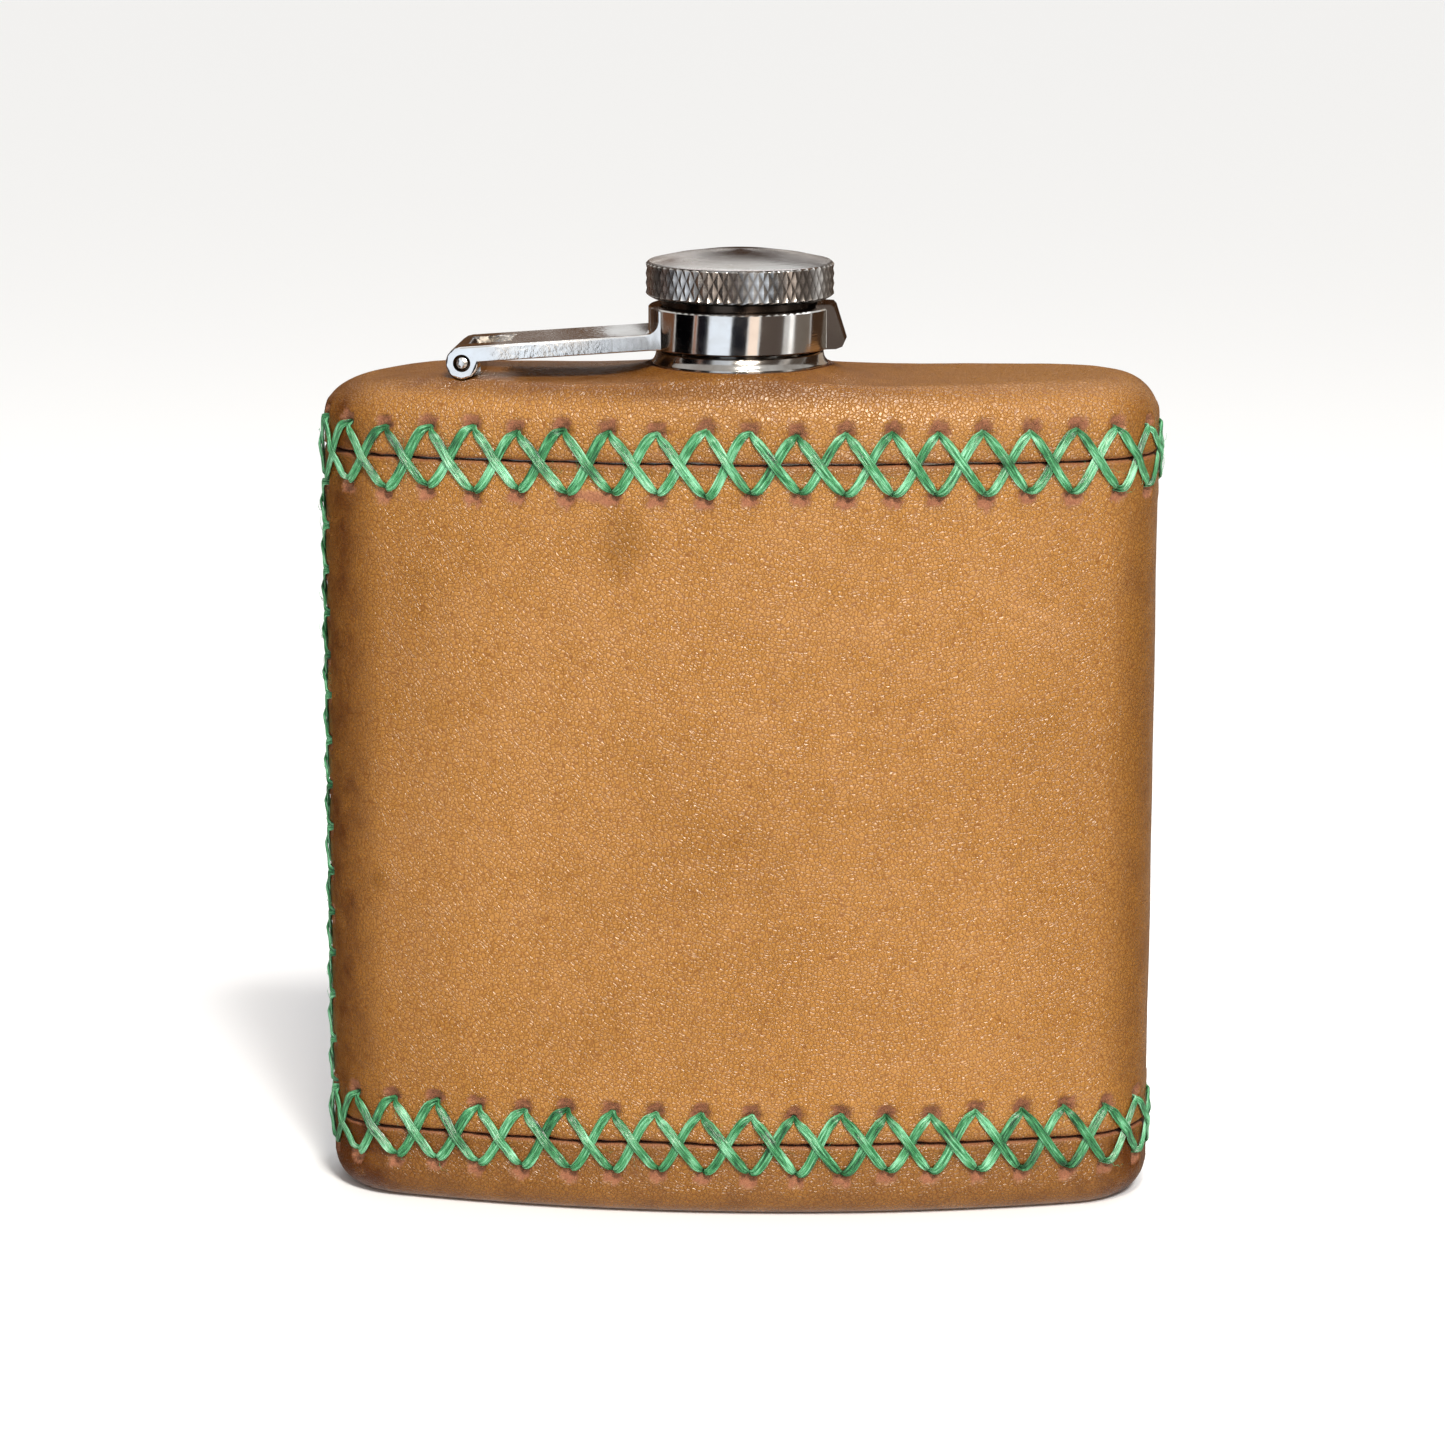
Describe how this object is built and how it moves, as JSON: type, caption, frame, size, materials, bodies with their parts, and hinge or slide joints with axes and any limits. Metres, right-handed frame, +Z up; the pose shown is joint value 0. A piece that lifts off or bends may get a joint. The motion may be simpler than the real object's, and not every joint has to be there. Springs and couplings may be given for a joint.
{
  "type": "hip flask",
  "caption": "Kidney-shaped steel hip flask in a cross-stitched tan leather cover, with a knurled screw cap held by a hinged captive arm.",
  "frame": {"origin": "middle of the overall box in plan, on the surface that the flask stands on", "axes": "+Z up through the cap, -Y out of the convex front, -X towards the arm's hinge"},
  "size_m": [0.0982, 0.0312, 0.1109],
  "materials": {
    "body_steel": "satin",
    "polished_steel": "mirror polished, knurled on the cap's rim",
    "seal_rubber": "matte",
    "tan_leather": "waxed and burnished vegetable-tanned leather",
    "green_thread": "flat waxed floss"
  },
  "bodies": {
    "flask": {"steel_body_wall": "body_steel", "steel_top_plate": "body_steel", "steel_bottom_plate": "body_steel", "neck_tube": "body_steel", "neck_collar": "body_steel", "hinge_bracket": "polished_steel", "hinge_pin": "polished_steel", "leather_top": "tan_leather", "leather_wrap": "tan_leather", "leather_bottom": "tan_leather", "top_seam_thread_1": "green_thread", "top_seam_thread_2": "green_thread", "bottom_seam_thread_1": "green_thread", "bottom_seam_thread_2": "green_thread", "side_seam_thread_1": "green_thread", "side_seam_thread_2": "green_thread"},
    "arm": {"captive_arm": "polished_steel"},
    "cap": {"screw_cap": "polished_steel", "cap_thread_liner": "body_steel", "cap_seal_disc": "seal_rubber"}
  },
  "joints": [
    {"name": "arm_swing", "type": "hinge", "parent": "flask", "child": "arm", "pos_m": [-0.03113, -0.00088, 0.0982], "axis": [-0.0349, -0.9994, 0], "range_deg": [0, 155]},
    {"name": "cap_turn", "type": "hinge", "parent": "arm", "child": "cap", "pos_m": [0, -0.00197, 0.1], "axis": [0, 0, 1], "continuous": true}
  ]
}
